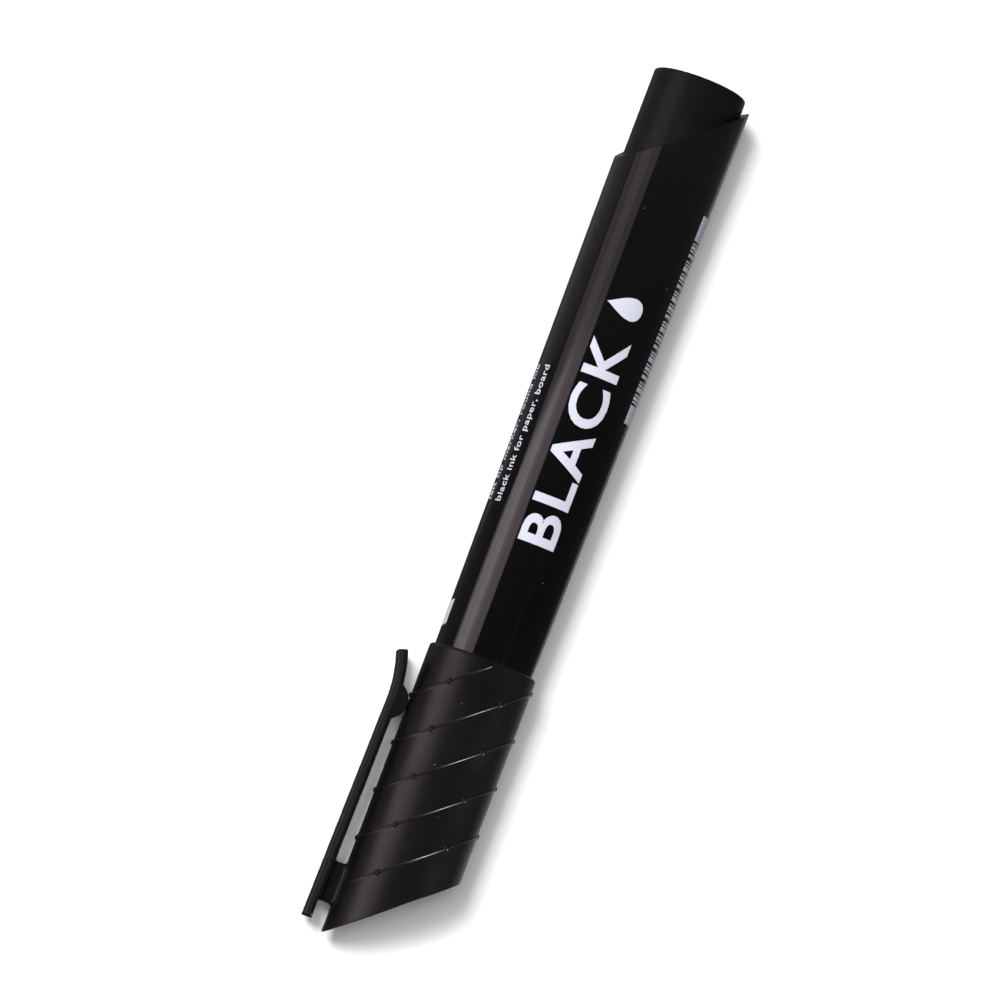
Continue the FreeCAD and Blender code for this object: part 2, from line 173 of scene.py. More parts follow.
# the turn that faces the viewer
FRONT_TURN = math.radians(85.8)
PRINT_LIFT = 0.02
PRINT_STRIP = 0.4
BARS_HALF_LENGTH = 17.0
BARS_HALF_WIDTH = 3.4

ROUND_STEPS = 256
ON_AXIS = 1e-6
WELD = 1e-4


def barrel_radius(place):
    widening = (BARREL_TAIL - BARREL_FRONT) * (place - BARREL_START)
    return BARREL_FRONT + widening / (PEN_LENGTH - BARREL_START)


def slanted_end(turn, out=CAP_RADIUS):
    """Where the cap's slanted end is, at a turn and a distance from the axis."""
    return END_PLACE - SLOPE * out * math.cos(turn)


# mesh helpers -------------------------------------------------------------------------------------


def finish_piece(name, mesh, body, material, slot, *nodes, smooth=True):
    """Turn a bmesh of pen coordinates into one piece that rides a body and replaces plain nodes."""
    bmesh.ops.recalc_face_normals(mesh, faces=mesh.faces)
    for face in mesh.faces:
        face.smooth = smooth
    mesh.transform(TO_ROW)
    data = bpy.data.meshes.new(name)
    mesh.to_mesh(data)
    mesh.free()
    data.materials.append(material)
    piece = bpy.data.objects.new(name, data)
    bpy.context.scene.collection.objects.link(piece)
    if body:
        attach(piece, body)
    if nodes:
        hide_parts(*nodes)
    return piece


def softened(corners, steps=4):
    """Outline with rounded corners. Each corner is (x, y) or (x, y, radius).

    A rounded corner has one more point on each straight side, which keeps the sides' shading flat.
    """
    points = []
    for index, corner in enumerate(corners):
        here = Vector(corner[:2])
        if len(corner) == 2:
            points.append(here)
            continue
        radius = corner[2]
        back = (Vector(corners[index - 1][:2]) - here).normalized()
        ahead = (Vector(corners[(index + 1) % len(corners)][:2]) - here).normalized()
        half = back.angle(ahead) / 2
        reach = radius / math.tan(half)
        lead = reach + 0.5 * radius
        inward = (back + ahead).normalized()
        centre = here + inward * (radius / math.sin(half))
        first = here + back * reach - centre
        last = here + ahead * reach - centre
        points.append(here + back * lead)
        for step in range(steps + 1):
            points.append(centre + first.slerp(last, step / steps).normalized() * radius)
        points.append(here + ahead * lead)
    return points


def lathe(profile_at, steps=ROUND_STEPS):
    """Closed skin round the axis. profile_at(turn) gives as many (x, out) points at every turn."""
    mesh = bmesh.new()
    rings = []
    for step in range(steps):
        turn = 2 * math.pi * step / steps
        rings.append([
            mesh.verts.new((point[0], point[1] * math.cos(turn), point[1] * math.sin(turn)))
            for point in profile_at(turn)
        ])
    for index, ring in enumerate(rings):
        following = rings[(index + 1) % steps]
        for row in range(len(ring)):
            after = (row + 1) % len(ring)
            on_axis = all(math.hypot(ring[k].co.y, ring[k].co.z) < ON_AXIS for k in (row, after))
            if not on_axis:
                mesh.faces.new((ring[row], ring[after], following[after], following[row]))
    bmesh.ops.remove_doubles(mesh, verts=mesh.verts, dist=WELD)
    return mesh


def loft(rings):
    """Closed skin through rings of points, with a flat face at each end."""
    mesh = bmesh.new()
    rows = [[mesh.verts.new(point) for point in ring] for ring in rings]
    for row, following in zip(rows, rows[1:]):
        for index in range(len(row)):
            after = (index + 1) % len(row)
            mesh.faces.new((row[index], row[after], following[after], following[index]))
    mesh.faces.new(rows[0])
    mesh.faces.new(rows[-1])
    return mesh


def join(mesh, other):
    """Add another bmesh's faces to this one."""
    data = bpy.data.meshes.new("joined")
    other.to_mesh(data)
    other.free()
    mesh.from_mesh(data)
    bpy.data.meshes.remove(data)


# materials ----------------------------------------------------------------------------------------


def new_material(name):
    material = bpy.data.materials.new(name)
    material.use_nodes = True
    nodes = material.node_tree.nodes
    shader = nodes["Principled BSDF"]
    place = nodes.new("ShaderNodeTexCoord")
    return material, shader, place.outputs["Object"]


def add_node(material, kind, **inputs):
    node = material.node_tree.nodes.new(kind)
    for name, value in inputs.items():
        socket = node.inputs[name.replace("_", " ")]
        if hasattr(value, "is_output"):
            material.node_tree.links.new(value, socket)
        else:
            socket.default_value = value
    return node


def noise(material, place, scale, detail=2.0, stretch=None):
    """Noise of the given scale, in cycles per metre; stretch squeezes the pattern along each axis."""
    if stretch:
        place = add_node(material, "ShaderNodeMapping", Vector=place, Scale=stretch).outputs["Vector"]
    return add_node(material, "ShaderNodeTexNoise", Vector=place, Scale=scale, Detail=detail).outputs["Fac"]


def spread(material, value, low, high, start=0.3, end=0.7):
    """Map a noise value onto a range."""
    node = add_node(material, "ShaderNodeMapRange", Value=value)
    for name, number in (("From Min", start), ("From Max", end), ("To Min", low), ("To Max", high)):
        node.inputs[name].default_value = number
    return node.outputs["Result"]


def mixed(material, factor, first, second):
    node = material.node_tree.nodes.new("ShaderNodeMix")
    node.data_type = "RGBA"
    material.node_tree.links.new(factor, node.inputs["Factor"])
    for socket, colour in ((node.inputs[6], first), (node.inputs[7], second)):
        if hasattr(colour, "is_output"):
            material.node_tree.links.new(colour, socket)
        else:
            socket.default_value = (*colour, 1.0)
    return node.outputs[2]


def specks(material, place, scale, share):
    """Small round dust specks: one in each cell of a Voronoi pattern, kept in a share of the cells."""
    cells = add_node(material, "ShaderNodeTexVoronoi", Vector=place, Scale=scale)
    near = spread(material, cells.outputs["Distance"], 1.0, 0.0, 0.05, 0.09)
    tone = material.node_tree.nodes.new("ShaderNodeSeparateColor")
    material.node_tree.links.new(cells.outputs["Color"], tone.inputs["Color"])
    kept = spread(material, tone.outputs["Red"], 1.0, 0.0, share, share + 0.01)
    product = material.node_tree.nodes.new("ShaderNodeMath")
    product.operation = "MULTIPLY"
    material.node_tree.links.new(near, product.inputs[0])
    material.node_tree.links.new(kept, product.inputs[1])
    return product.outputs["Value"]


CLOUD_SCALE = 90.0
GLOSS_SCALE = 260.0
WAVE_SCALE = 60.0
SPECK_SCALE = 700.0
SPECK_COLOUR = (0.13, 0.125, 0.12)
EDGE_RANGE = (0.52, 0.62)


def moulded_plastic(name, colour, other, roughness, grain_scale, grain_depth, dust=0.0, painted_edge_highlight=None,
                    specular=0.5, wave_depth=0.0, polish=None):
    """Moulded plastic with clouded colour, uneven gloss and fine grain.

    Dust is the share of cells with a speck, painted_edge_highlight a lighter colour painted on sharp edges
    as a highlight, and polish their roughness.
    """
    material, shader, place = new_material(name)
    links = material.node_tree.links
    cloud = spread(material, noise(material, place, CLOUD_SCALE, 4.0), 0.0, 1.0)
    tint = mixed(material, cloud, colour, other)
    geometry = material.node_tree.nodes.new("ShaderNodeNewGeometry")
    edge = spread(material, geometry.outputs["Pointiness"], 0.0, 1.0, *EDGE_RANGE)
    # sharp edges are painted a lighter colour: a painted highlight along the edges
    if painted_edge_highlight:
        tint = mixed(material, edge, tint, painted_edge_highlight)
    if dust:
        tint = mixed(material, specks(material, place, SPECK_SCALE, dust), tint, SPECK_COLOUR)
    links.new(tint, shader.inputs["Base Color"])
    uneven = spread(material, noise(material, place, GLOSS_SCALE, 3.0), roughness[0], roughness[1])
    if polish:
        blend = add_node(material, "ShaderNodeMapRange", Value=edge, To_Min=uneven, To_Max=polish)
        uneven = blend.outputs["Result"]
    links.new(uneven, shader.inputs["Roughness"])
    fine = noise(material, place, grain_scale, 3.0)
    grain = add_node(material, "ShaderNodeBump", Height=fine, Strength=1.0, Distance=grain_depth)
    if wave_depth:
        wave = noise(material, place, WAVE_SCALE, 1.0, (0.35, 1.0, 1.0))
        bend = add_node(material, "ShaderNodeBump", Height=wave, Strength=1.0, Distance=wave_depth)
        links.new(bend.outputs["Normal"], grain.inputs["Normal"])
    links.new(grain.outputs["Normal"], shader.inputs["Normal"])
    shader.inputs["Specular IOR Level"].default_value = specular
    return material


def fibre(name, colour, other, scale):
    """Pressed fibre: long fine strands along the pen."""
    material, shader, place = new_material(name)
    links = material.node_tree.links
    strands = noise(material, place, scale, 5.0, (0.08, 1.0, 1.0))
    tint = mixed(material, spread(material, strands, 0.0, 1.0), colour, other)
    links.new(tint, shader.inputs["Base Color"])
    links.new(spread(material, strands, 0.75, 0.95), shader.inputs["Roughness"])
    ridges = add_node(material, "ShaderNodeBump", Height=strands, Strength=1.0, Distance=0.00004)
    links.new(ridges.outputs["Normal"], shader.inputs["Normal"])
    return material


# the edge colours given below are painted highlights on sharp edges
barrel_plastic = moulded_plastic(
    "barrel_plastic", (0.0012, 0.0012, 0.0013), (0.002, 0.002, 0.0022), (0.05, 0.09), 9000.0, 0.0000004,
    dust=0.05, painted_edge_highlight=(0.08, 0.075, 0.078), wave_depth=0.00002)
cap_plastic = moulded_plastic(
    "cap_plastic", (0.0026, 0.0024, 0.0022), (0.0038, 0.0034, 0.0031), (0.3, 0.37), 9000.0, 0.000006,
    dust=0.04, painted_edge_highlight=(0.012, 0.011, 0.0105), specular=0.3, polish=0.14)
plug_plastic = moulded_plastic(
    "plug_plastic", (0.003, 0.003, 0.0032), (0.0042, 0.0042, 0.0045), (0.28, 0.34), 7000.0, 0.000003,
    dust=0.05, painted_edge_highlight=(0.012, 0.012, 0.012), specular=0.15)
holder_plastic = moulded_plastic(
    "holder_plastic", (0.006, 0.006, 0.0065), (0.009, 0.009, 0.0095), (0.25, 0.35), 5000.0, 0.000003,
    painted_edge_highlight=(0.02, 0.02, 0.02))
liner_plastic = moulded_plastic(
    "liner_plastic", (0.62, 0.62, 0.6), (0.7, 0.7, 0.68), (0.3, 0.4), 5000.0, 0.000003)
film_plastic = moulded_plastic(
    "film_plastic", (0.55, 0.56, 0.58), (0.66, 0.67, 0.69), (0.12, 0.2), 3000.0, 0.000004)
print_ink = moulded_plastic(
    "print_ink", (0.41, 0.41, 0.48), (0.45, 0.45, 0.53), (0.35, 0.5), 12000.0, 0.000002)
nib_fibre = fibre("nib_fibre", (0.004, 0.004, 0.006), (0.016, 0.015, 0.02), 5200.0)
reservoir_fibre = fibre("reservoir_fibre", (0.01, 0.01, 0.014), (0.05, 0.05, 0.06), 3600.0)


# barrel and its fittings --------------------------------------------------------------------------


def barrel_profile(turn):
    """Outline of the barrel's wall at one turn; the slanted cut at the tail depends on it."""
    rise = SLOPE * math.cos(turn - TAIL_CUT_TURN)
    taper = (BARREL_TAIL - BARREL_FRONT) / (PEN_LENGTH - BARREL_START)
    cut_radius = barrel_radius(TAIL_CUT_PLACE) / (1 + taper * rise)
    return softened([
        (NECK_START, NECK_BORE, 0.1),
        (NECK_START, NECK_RADIUS, 0.15),
        (BARREL_START, NECK_RADIUS),
        (BARREL_START, BARREL_FRONT, 0.12),
        (TAIL_CUT_PLACE - rise * cut_radius, cut_radius, 0.05),
        (TAIL_CUT_PLACE - rise * SOCKET_BORE, SOCKET_BORE, 0.08),
        (SOCKET_START, SOCKET_BORE),
        (SOCKET_START, BORE_BACK),
        (HOLDER_END, BORE_FRONT),
        (HOLDER_END, NECK_BORE),
    ])


def make_barrel():
    mesh = lathe(barrel_profile)
    return finish_piece("barrel_body", mesh, "pen", barrel_plastic, "barrel_plastic", "barrel")


def make_tail_plug():
    start = along(plug_high)
    hollow = 5.9
    floor = PEN_LENGTH - 1.6
    profile = softened([
        (start, hollow, 0.1),
        (start, PLUG_NECK, 0.2),
        (PLUG_NECK_END, PLUG_NECK),
        (PLUG_NECK_END, PLUG_RADIUS, 0.05),
        (PEN_LENGTH, PLUG_RADIUS, 0.4),
        (PEN_LENGTH, PLUG_RADIUS - 1.0),
        (PEN_LENGTH, 0.0),
        (floor, 0.0),
        (floor, hollow, 0.3),
    ])
    mesh = lathe(lambda turn: profile)
    return finish_piece("end_plug", mesh, "pen", plug_plastic, "plug_plastic", "tail_plug")


def make_nib_holder():
    """Front section with four vents beside the nib."""
    tip = along(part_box("nib_holder")[1])
    vent_half_turn = math.asin(VENT_HALF_WIDTH / NIB_RADIUS)

    def profile(turn):
        off_vent = abs((turn + math.pi / 4) % (math.pi / 2) - math.pi / 4)
        bore = NIB_RADIUS + (VENT_DEPTH if off_vent < vent_half_turn else 0.02)
        return softened([
            (tip, bore, 0.08),
            (tip, 3.3, 0.25),
            (HOLDER_FRONT, 4.9, 0.6),
            (HOLDER_STEP, 4.9, 0.3),
            (HOLDER_FLANGE, 6.2, 0.1),
            (HOLDER_FLANGE, 6.95, 0.15),
            (NECK_START, 6.95, 0.05),
            (NECK_START, NECK_BORE),
            (HOLDER_END, NECK_BORE, 0.2),
            (HOLDER_END, HOLDER_BORE, 0.1),
            (HOLDER_BACK, HOLDER_BORE),
            (HOLDER_BACK, bore, 0.1),
        ])

    mesh = lathe(profile)
    return finish_piece("nib_socket", mesh, "pen", holder_plastic, "holder_plastic", "nib_holder")


def make_nib():
    """Fibre rod whose round tip runs into a cone."""
    tip = along(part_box("nib")[1])
    end = along(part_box("nib")[0])
    ball = 1.3
    ball_turn = math.radians(65.0)
    ball_steps = 8
    profile = []
    for step in range(ball_steps + 1):
        spot = ball_turn * step / ball_steps
        profile.append((tip + ball * (1 - math.cos(spot)), ball * math.sin(spot)))
    cone_end = profile[-1][0] + (NIB_RADIUS - profile[-1][1]) * math.tan(ball_turn)
    rest = softened([
        profile[-1],
        (cone_end, NIB_RADIUS, 1.0),
        (end - 1.0, NIB_RADIUS),
        (end, 1.2, 0.2),
        (end, 0.0),
    ])
    profile += [tuple(point) for point in rest[1:]]
    mesh = lathe(lambda turn: profile, 96)
    return finish_piece("fibre_nib", mesh, "pen", nib_fibre, "nib_fibre", "nib")


def make_inner_cap():
    start = along(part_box("inner_cap")[1])
    mouth = along(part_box("inner_cap")[0])
    flange = mouth - 1.2
    profile = softened([
        (start, 0.0),
        (start, CUP_BORE + CUP_WALL, 0.4),
        (flange, CUP_BORE + CUP_WALL, 0.2),
        (flange, CAP_BORE, 0.1),
        (mouth, CAP_BORE, 0.1),
        (mouth, CUP_BORE + 0.75, 0.1),
        (flange, CUP_BORE, 0.5),
        (start + CUP_WALL, CUP_BORE, 0.5),
        (start + CUP_WALL, 0.0),
    ])
    mesh = lathe(lambda turn: profile, 192)
    return finish_piece("sealing_cup", mesh, "cap", liner_plastic, "liner_plastic", "inner_cap")


# cap ----------------------------------------------------------------------------------------------


def cap_profile(turn):
    """Outline of the cap's wall at one turn. Rows beyond the rim move back to it and merge there."""
    last = CAP_LENGTH - 1.6 * RIM_ROUNDING
    inner_ring = CAP_RADIUS - 0.9
    wall = []
    for number in range(1, LINE_COUNT + 1):
        for offset, height in RIDGE:
            place = slanted_end(turn) + number * LINE_PITCH + offset * LINE_HALF_WIDTH
            raised = LINE_HEIGHT * height if place < last else 0.0
            wall.append((min(place, last), CAP_RADIUS + raised))
    inside = CAP_END_WALL * math.sqrt(1 + SLOPE * SLOPE)
    return softened([
        (END_PLACE, 0.0),
        (slanted_end(turn, inner_ring), inner_ring),
        (slanted_end(turn), CAP_RADIUS, 0.16),
        *wall,
        (CAP_LENGTH, CAP_RADIUS, RIM_ROUNDING),
        (CAP_LENGTH, SKIRT_BORE, 0.08),
        (CAP_LENGTH - SKIRT_DEPTH, SKIRT_BORE),
        (CAP_LENGTH - SKIRT_DEPTH, CAP_BORE, 0.1),
        (slanted_end(turn, CAP_BORE) + inside, CAP_BORE),
        (END_PLACE + inside, 0.0),
    ])


def bead(place, turn):
    """Round bead with a fillet at its foot, bent to the cap's surface and closed below it."""
    around = 24
    dome = [step * math.pi / 16 for step in range(1, 8)]
    rows = [(BEAD_RADIUS * math.sin(lean), BEAD_HEIGHT * math.cos(lean)) for lean in dome]
    rows.append((BEAD_RADIUS * 1.04, BEAD_HEIGHT * 0.1))
    rows.append((BEAD_RADIUS * 1.2, 0.008))
    rows.append((BEAD_RADIUS * 1.25, -0.1))
    rings = []
    for radius, height in rows:
        out = CAP_RADIUS + height
        ring = []
        for step in range(around):
            spot = 2 * math.pi * step / around
            round_turn = turn + radius * math.sin(spot) / CAP_RADIUS
            x = place + radius * math.cos(spot)
            ring.append((x, out * math.cos(round_turn), out * math.sin(round_turn)))
        rings.append(ring)
    return loft(rings)


def make_cap():
    mesh = lathe(cap_profile)
    for line in range(1, LINE_COUNT + 1):
        for step in range(BEADS_ROUND):
            turn = 2 * math.pi * step / BEADS_ROUND
            place = slanted_end(turn) + line * LINE_PITCH
            under_bridge = line == 1 and step == 0
            if place < CAP_LENGTH - RIM_ROUNDING - BEAD_RADIUS and not under_bridge:
                join(mesh, bead(place, turn))
    return finish_piece("cap_body", mesh, "cap", cap_plastic, "cap_plastic", "cap_shell")


# clip ---------------------------------------------------------------------------------------------


def outer_face(place):
    return CLIP_REACH - place * CLIP_LEAN


def inner_face(place):
    return outer_face(place) - CLIP_THICKNESS


def clip_station(place):
    """Outer and inner point of the clip's side view. Past the start of the flare, place runs along it."""
    sag = inner_face(LOBE_PLACE) - CAP_RADIUS - LOBE_GAP
    lobe_radius = (LOBE_HALF ** 2 + sag ** 2) / (2 * sag)
    lobe_centre = Vector((LOBE_PLACE, CAP_RADIUS + LOBE_GAP + lobe_radius))
    turn = max(place - FLARE_START, 0.0) / FLARE_RADIUS
    foot = Vector((min(place, FLARE_START), outer_face(min(place, FLARE_START))))
    centre = foot + Vector((0.0, FLARE_RADIUS))
    down = Vector((math.sin(turn), -math.cos(turn)))
    outer = centre + down * FLARE_RADIUS
    depth = CLIP_THICKNESS
    if place < HEEL_END:
        depth = outer.y - (outer_face(CLIP_START) - HEEL_THICKNESS)
    # the lobe's circle deepens the section where it reaches past the inner face
    to_lobe = lobe_centre - outer
    beside = to_lobe.cross(down)
    if abs(beside) < lobe_radius:
        reach = to_lobe.dot(down) + math.sqrt(lobe_radius ** 2 - beside ** 2)
        gap = reach - depth
        # a soft maximum rounds the lobe's feet
        depth = depth + (gap + math.sqrt(gap * gap + LOBE_FOOT)) / 2
    return outer, outer + down * depth


def clip_section(place, shrink=1.0):
    """Section across the clip, widest at its sides' crest; shrink draws it in for the rounded ends."""
    outer, inner = clip_station(place)
    length = FLARE_START + FLARE_RADIUS * FLARE_TURN
    share = (place - CLIP_START) / (length - CLIP_START)
    width = CLIP_WIDTH + (CLIP_TIP_WIDTH - CLIP_WIDTH) * share
    down = inner - outer
    depth = down.length
    down.normalize()
    half_width = width / 2 - CLIP_EDGE * (1 - shrink)
    half_depth = depth / 2 - CLIP_EDGE * (1 - shrink)
    edge = max(CLIP_EDGE * shrink, 0.04)
    ridge = 0.06
    crest = min(2 * half_depth, CLIP_THICKNESS) * CLIP_CREST
    draft = crest * CLIP_SIDE_LEAN
    crest_height = crest - half_depth
    outline = softened([
        (draft - half_width, -half_depth, edge),
        (half_width - draft, -half_depth, edge),
        (half_width, crest_height, ridge),
        (half_width - ridge, half_depth, edge * 0.8),
        (ridge - half_width, half_depth, edge * 0.8),
        (-half_width, crest_height, ridge),
    ], 3)
    middle = (outer + inner) / 2
    return [(middle.x + down.x * y, middle.y + down.y * y, x) for x, y in outline]


def bridge_rings():
    """Sections of the bridge from the cap's wall up to the clip, with a fillet at both ends."""
    fillet_steps = 5
    heights = []
    for step in range(fillet_steps + 1):
        spot = math.pi / 2 * step / fillet_steps
        heights.append((BRIDGE_FILLET * (1 - math.cos(spot)), BRIDGE_FILLET * (1 - math.sin(spot))))
    foot = [(-0.4, BRIDGE_FILLET)] + heights
    head = [(height, spread_out) for height, spread_out in reversed(foot)]
    middle = (BRIDGE_START + BRIDGE_END) / 2
    corner = 0.8
    rings = []
    for from_cap, stations in ((True, foot), (False, head)):
        for height, spread_out in stations:
            half_length = (BRIDGE_END - BRIDGE_START) / 2 + spread_out
            half_width = BRIDGE_WIDTH / 2 + spread_out
            ring = []
            for x, z in softened([
                (-half_length, -half_width, corner),
                (half_length, -half_width, corner),
                (half_length, half_width, corner),
                (-half_length, half_width, corner),
            ], 5):
                if from_cap:
                    y = math.sqrt(CAP_RADIUS ** 2 - z ** 2) + height
                else:
                    y = clip_station(middle + x)[1].y - height
                ring.append((middle + x, y, z))
            rings.append(ring)
    return rings


def make_pocket_clip():
    length = FLARE_START + FLARE_RADIUS * FLARE_TURN
    end_steps = 5
    rings = []
    for step in range(end_steps + 1):
        spot = math.pi / 2 * step / end_steps
        rings.append(clip_section(CLIP_START + CLIP_EDGE * (1 - math.sin(spot)), math.sin(spot)))
    place = CLIP_START + CLIP_EDGE + 0.25
    while place < length - CLIP_EDGE - 0.2:
        rings.append(clip_section(place))
        near_lobe = abs(place - LOBE_PLACE) < LOBE_HALF + 1.5
        place += 0.15 if near_lobe else 0.5
    for step in range(end_steps + 1):
        spot = math.pi / 2 * step / end_steps
        rings.append(clip_section(length - CLIP_EDGE * (1 - math.sin(spot)), math.cos(spot)))
    mesh = loft(rings)
    join(mesh, loft(bridge_rings()))
    piece = finish_piece("clip_arm", mesh, None, cap_plastic, "cap_plastic", "pocket_clip")
    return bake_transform(piece)


# print --------------------------------------------------------------------------------------------


def flat_word(text, length, height, weight):
    """Flat letters, centred and scaled to a length and a height. Weight thickens their strokes."""
    curve = bpy.data.curves.new("word", "FONT")
    curve.body = text
    curve.offset = weight
    curve.space_character = 1.0 + 6.0 * weight
    curve.resolution_u = 5
    holder = bpy.data.objects.new("word", curve)
    bpy.context.scene.collection.objects.link(holder)
    bpy.context.view_layer.update()
    data = bpy.data.meshes.new_from_object(holder)
    mesh = bmesh.new()
    mesh.from_mesh(data)
    bpy.data.objects.remove(holder)
    bpy.data.curves.remove(curve)
    bpy.data.meshes.remove(data)
    xs = [vertex.co.x for vertex in mesh.verts]
    ys = [vertex.co.y for vertex in mesh.verts]
    scale = Vector((length / (max(xs) - min(xs)), height / (max(ys) - min(ys)), 1.0))
    middle = Vector(((max(xs) + min(xs)) / 2, (max(ys) + min(ys)) / 2, 0.0))
    for vertex in mesh.verts:
        vertex.co = (vertex.co - middle) * scale
    return mesh


def flat_shape(points):
    mesh = bmesh.new()
    mesh.faces.new([mesh.verts.new((x, y, 0.0)) for x, y in points])
    return mesh


def printed(name, mesh, place, turn):
    """Give a flat shape some thickness and wrap it round the barrel, its top towards the clip.

    Place is the distance of its middle from the cap's tip, and turn is in degrees from FRONT_TURN.
    """
    low = min(vertex.co.y for vertex in mesh.verts)
    high = max(vertex.co.y for vertex in mesh.verts)
    for number in range(1, math.ceil((high - low) / PRINT_STRIP)):
        cut = (0.0, low + number * PRINT_STRIP, 0.0)
        everything = mesh.verts[:] + mesh.edges[:] + mesh.faces[:]
        bmesh.ops.bisect_plane(mesh, geom=everything, plane_co=cut, plane_no=(0.0, 1.0, 0.0))
    raised = bmesh.ops.extrude_face_region(mesh, geom=mesh.faces[:])
    top = {item for item in raised["geom"] if isinstance(item, bmesh.types.BMVert)}
    for vertex in mesh.verts:
        x = place + vertex.co.x
        radius = barrel_radius(x)
        out = radius + (PRINT_LIFT if vertex in top else -PRINT_LIFT)
        spot = FRONT_TURN + math.radians(turn) - vertex.co.y / radius
        vertex.co = (x, out * math.cos(spot), out * math.sin(spot))
    return finish_piece(name, mesh, "pen", print_ink, "print_ink", smooth=False)


def make_print():
    printed("print_word", flat_word("BLACK", 33.6, 6.1, 0.021), 82.3, 8.8)
    printed("print_drop", flat_shape(ink_drop(2.5, 2.9)), 104.0, 8.0)
    lines = (
        ("print_line_1", "felt tip marker, round nib", -75.5),
        ("print_line_2", "black ink for paper, board", -53.9),
    )
    for name, text, turn in lines:
        printed(name, flat_word(text, 22.0, 1.75, 0.012), 81.1, turn)
    printed("print_bars", stripes(), 105.0, 86.0)
    block = flat_shape([(-2.6, 3.0), (-1.4, -3.0), (2.6, -3.0), (1.4, 3.0)])
    printed("print_block", block, 51.5, -91.0)


def stripes():
    """Plain stripes of mixed widths between two end blocks."""
    end = BARS_HALF_LENGTH
    high = BARS_HALF_WIDTH
    mesh = rectangle(-end, -14.0, -high, high)
    join(mesh, rectangle(13.6, end, -high, high))
    widths = (0.25, 0.5, 0.25, 0.75, 0.25, 0.25, 0.5)
    place = -13.6
    number = 0
    while place < 13.0:
        width = widths[number % len(widths)]
        join(mesh, rectangle(place, place + width, -high, high))
        place += width + widths[(number * 3 + 2) % len(widths)] * 0.8
        number += 1
    return mesh


def rectangle(left, right, low, high):
    return flat_shape([(left, low), (right, low), (right, high), (left, high)])


def ink_drop(half_width, half_height, steps=40):
    """Outline of a drop whose point is up: a circle whose width shrinks towards its top."""
    outline = []
    for step in range(steps):
        turn = 2 * math.pi * step / steps
        width = half_width * math.sin(turn) * math.sin(turn / 2) ** 1.5
        outline.append((width, half_height * math.cos(turn)))
    return outline


# stage, light and camera --------------------------------------------------------------------------


def make_floor():
    data = bpy.data.meshes.new("floor")
    half = 3.0
    corners = [(-half, -half, 0), (half, -half, 0), (half, half, 0), (-half, half, 0)]
    data.from_pydata(corners, [], [(0, 1, 2, 3)])
    floor = bpy.data.objects.new("floor", data)
    bpy.context.scene.collection.objects.link(floor)
    material, shader, place = new_material("floor_paper")
    tone = spread(material, noise(material, place, 3.0, 2.0), 0.0, 1.0)
    tint = mixed(material, tone, (0.84, 0.84, 0.84), (0.86, 0.86, 0.86))
    material.node_tree.links.new(tint, shader.inputs["Base Color"])
    shader.inputs["Roughness"].default_value = 0.9
    shader.inputs["Specular IOR Level"].default_value = 0.1
    data.materials.append(material)
    floor.visible_glossy = False


def pen_direction(lean, ahead=0.0):
    """Direction leaning from the top towards the clip, and ahead towards the cap's end, in degrees."""
    lean, ahead = math.radians(lean), math.radians(ahead)
    across = CLIP_WAY * math.sin(lean) + TOP_WAY * math.cos(lean)
    return across * math.cos(ahead) + Vector((1.0, 0.0, 0.0)) * math.sin(ahead)


def area_light(name, direction, distance, size, brightness, roll=0.0, shift=0.0):
    """Soft box of the given brightness that faces the pen; its first side runs along the pen.

    Roll turns it in its own plane, in degrees; shift moves it towards the cap, in metres.
    """
    light = bpy.data.lights.new(name, "AREA")
    light.shape = "RECTANGLE"
    light.size, light.size_y = size
    light.energy = brightness * math.pi * size[0] * size[1]
    lamp = bpy.data.objects.new(name, light)
    bpy.context.scene.collection.objects.link(lamp)
    back = direction.normalized()
    right = Vector((1.0, 0.0, 0.0))
    right = (right - back * right.dot(back)).normalized()
    right.rotate(Quaternion(back, math.radians(roll)))
    up = back.cross(right)
    place = AXIS_MIDDLE + back * distance + right * shift
    lamp.matrix_world = Matrix.Translation(place) @ Matrix((right, up, back)).transposed().to_4x4()
    return lamp


SIDE_BOXES = (
    # name, lean towards the clip, height, start and end towards the cap, brightness
    ("side_box", 58.5, 0.94, -1.2, 1.2, 0.6),
    ("side_core", 58.0, 0.36, -1.2, 1.2, 0.35),
    ("front_box", 60.5, 1.0, -0.135, 1.2, 0.9),
    ("front_core", 68.0, 0.45, -0.135, 1.2, 1.25),
    ("side_low", 118.0, 1.25, -1.2, -0.13, 0.13),
    ("side_lower", 118.0, 1.25, -1.2, 1.2, 0.05),
    ("far_low", -158.0, 0.75, -1.2, 1.2, 0.2),
    ("cap_low", -146.0, 1.2, -0.047, 1.2, 0.35),
)
SIDE_COLOUR = (1.0, 0.86, 0.93)
SIDE_ROLL = 4.0
KEY_WAY = Vector((-0.16, -math.tan(math.radians(36.0)), 1.0))
VIEW_LEAN = 4.2


def make_lights():
    """Side boxes and a small spark that only the gloss sees, and a key and a fill it doesn't see."""
    for number, (name, lean, height, start, end, brightness) in enumerate(SIDE_BOXES):
        # one a little behind the other, because boxes in one plane hide each other
        distance = 1.0 + 0.01 * number
        size = (end - start, height)
        shift = (start + end) / 2
        box = area_light(name, pen_direction(lean), distance, size, brightness, SIDE_ROLL, shift)
        box.data.color = SIDE_COLOUR
        box.visible_diffuse = False
    spark = area_light("spark", pen_direction(-76.0, 37.5), 1.0, (0.3, 0.3), 58.0)
    spark.visible_diffuse = False
    key = area_light("key", KEY_WAY, 1.5, (0.36, 0.36), 70.0)
    key.visible_glossy = False
    fill = area_light("fill", pen_direction(VIEW_LEAN), 1.5, (0.6, 0.6), 11.3)
    fill.visible_glossy = False


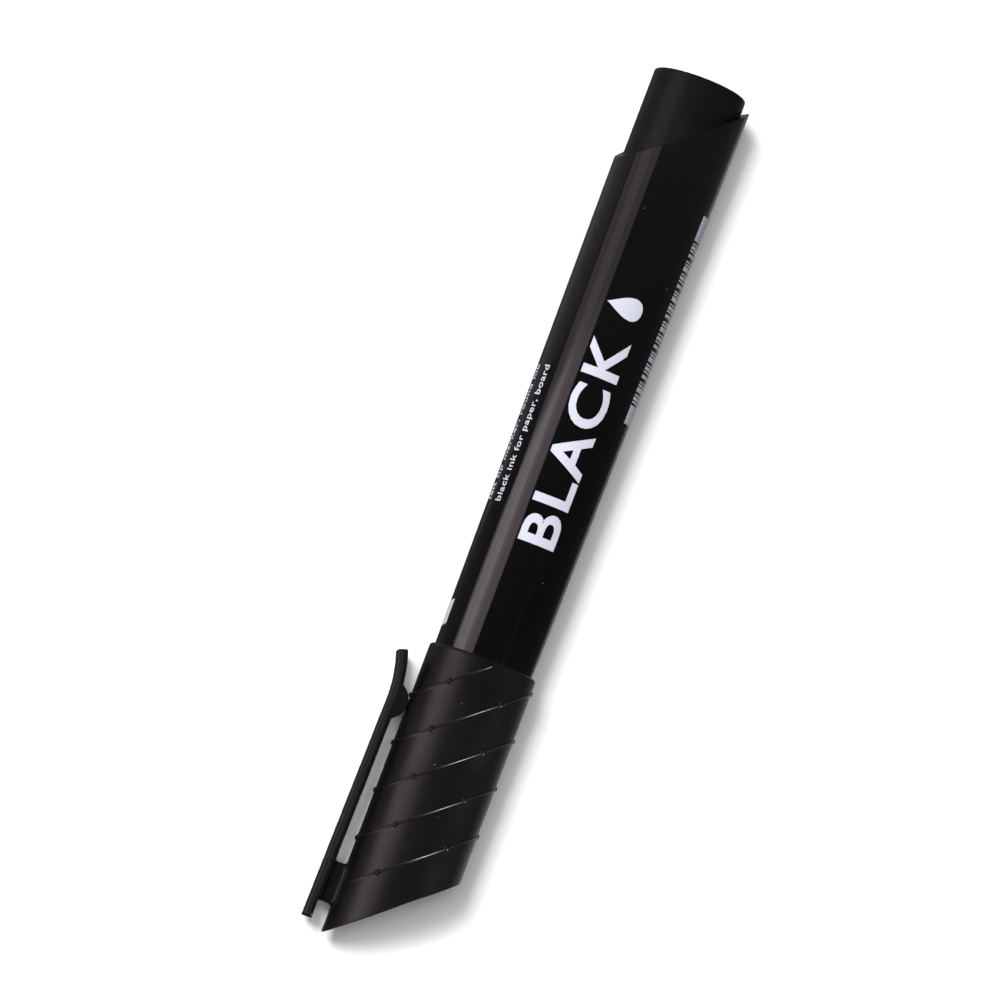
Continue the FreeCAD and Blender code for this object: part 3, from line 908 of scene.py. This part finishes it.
def make_world():
    """Dim white surroundings, brighter towards the tail."""
    world = bpy.data.worlds.new("studio")
    world.use_nodes = True
    nodes = world.node_tree.nodes
    links = world.node_tree.links
    way = nodes.new("ShaderNodeSeparateXYZ")
    links.new(nodes.new("ShaderNodeTexCoord").outputs["Generated"], way.inputs["Vector"])
    glow = nodes.new("ShaderNodeMapRange")
    links.new(way.outputs["X"], glow.inputs["Value"])
    ends = (("From Min", -0.11), ("From Max", -0.16), ("To Min", 0.055), ("To Max", 0.13))
    for name, number in ends:
        glow.inputs[name].default_value = number
    links.new(glow.outputs["Result"], nodes["Background"].inputs["Strength"])
    nodes["Background"].inputs["Color"].default_value = (1.0, 1.0, 1.0, 1.0)
    bpy.context.scene.world = world


def make_camera():
    """Camera above the clip's side of the top, slightly ahead of the cap, with the tail up to the right."""
    distance = 0.9015
    lean = 4.194
    tail_rise = math.radians(69.305)
    ahead_of_cap = 23.955
    target_place = 70.781
    target_aside = 6.269 * MM
    back = pen_direction(lean)
    place = TO_ROW @ Vector((-ahead_of_cap, 0.0, 0.0)) + back * distance
    aside = pen_direction(lean - 90.0)
    target = TO_ROW @ Vector((target_place, 0.0, 0.0)) - aside * target_aside
    backward = (place - target).normalized()
    tailward = Vector((-1.0, 0.0, 0.0))
    tailward = (tailward - backward * tailward.dot(backward)).normalized()
    across = backward.cross(tailward)
    right = tailward * math.cos(tail_rise) - across * math.sin(tail_rise)
    up = tailward * math.sin(tail_rise) + across * math.cos(tail_rise)
    data = bpy.data.cameras.new("camera")
    data.lens = 215.2
    data.sensor_width = 36.0
    camera = bpy.data.objects.new("camera", data)
    bpy.context.scene.collection.objects.link(camera)
    camera.matrix_world = Matrix.Translation(place) @ Matrix((right, up, backward)).transposed().to_4x4()
    bpy.context.scene.camera = camera


make_barrel()
make_tail_plug()
make_nib_holder()
make_nib()
make_inner_cap()
make_cap()
make_pocket_clip()
make_print()
for node, material in (("ink_reservoir", reservoir_fibre), ("reservoir_film", film_plastic)):
    frame["nodes"][node].data.materials.clear()
    frame["nodes"][node].data.materials.append(material)
make_floor()
make_lights()
make_world()
make_camera()
bpy.context.scene.view_settings.view_transform = "Standard"

bpy.context.view_layer.update()
